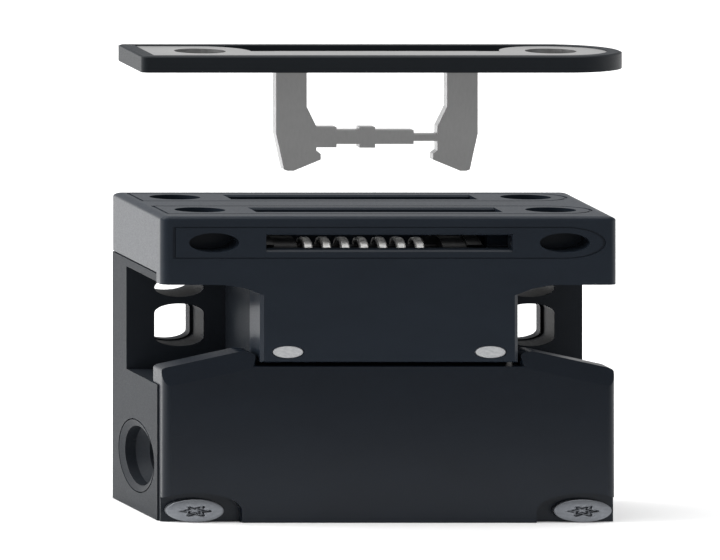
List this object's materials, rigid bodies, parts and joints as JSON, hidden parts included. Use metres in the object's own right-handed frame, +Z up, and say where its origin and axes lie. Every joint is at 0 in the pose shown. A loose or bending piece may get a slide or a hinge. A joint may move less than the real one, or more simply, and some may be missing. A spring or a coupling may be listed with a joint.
{
  "type": "tongue interlock switch",
  "caption": "Slim moulded safety switch with a key head, fixing flange and cable entry, and its separate steel tongue key held above the head.",
  "frame": {"origin": "middle of the base of the switch body, halfway between front and rear faces", "axes": "+Z up through the head, +X along the front, +Y from the front to the mounting face"},
  "size_m": [0.056, 0.03, 0.137],
  "materials": {
    "body_plastic": "fine moulded grain",
    "cover_plastic": "fine moulded grain",
    "frame_plastic": "satin moulding",
    "wheel_plastic": "black acetal",
    "plunger_plastic": "natural acetal",
    "block_plastic": "plain moulding",
    "seal_rubber": "soft black rubber",
    "screw_zinc": "zinc plated",
    "pin_steel": "matt turned end",
    "spring_steel": "bright drawn wire",
    "shaft_steel": "ground",
    "contact_brass": "plain",
    "key_steel": "blanked stainless sheet, matt"
  },
  "bodies": {
    "switch_body": {"housing": "body_plastic", "cover_gasket": "seal_rubber", "front_cover": "cover_plastic", "cover_screws": "screw_zinc", "head_cap": "body_plastic", "head_pins": "pin_steel", "stem_seal": "seal_rubber", "contact_block": "block_plastic", "terminals": "contact_brass", "clamp_plates": "screw_zinc", "terminal_screws": "screw_zinc", "return_spring": "spring_steel"},
    "rotor": {"rotor_shaft": "shaft_steel", "cam_wheel_left": "wheel_plastic", "cam_wheel_right": "wheel_plastic", "rotor_spring": "spring_steel"},
    "plunger": {"plunger_yoke": "plunger_plastic", "plunger_stem": "plunger_plastic", "break_bridge": "contact_brass", "make_bridge": "contact_brass", "contact_spring": "spring_steel", "stem_clip": "spring_steel"},
    "key": {"actuator_frame": "frame_plastic", "actuator_key": "key_steel"}
  },
  "joints": [
    {"name": "key_slide", "type": "slide", "parent": "switch_body", "child": "key", "axis": [0, 0, 1], "range_m": [-0.042, 0]},
    {"name": "rotor_turn", "type": "hinge", "parent": "switch_body", "child": "rotor", "pos_m": [0, 0.001, 0.075], "axis": [1, 0, 0], "range_deg": [0, 80]},
    {"name": "plunger_lift", "type": "slide", "parent": "switch_body", "child": "plunger", "axis": [0, 0, 1], "range_m": [0, 0.0026], "deforming": ["return_spring"]}
  ],
  "couplings": [
    {"joint": "rotor_turn", "follows": "key_slide", "rad_per_m": -33.24},
    {"joint": "plunger_lift", "follows": "key_slide", "ratio": -0.0619}
  ]
}
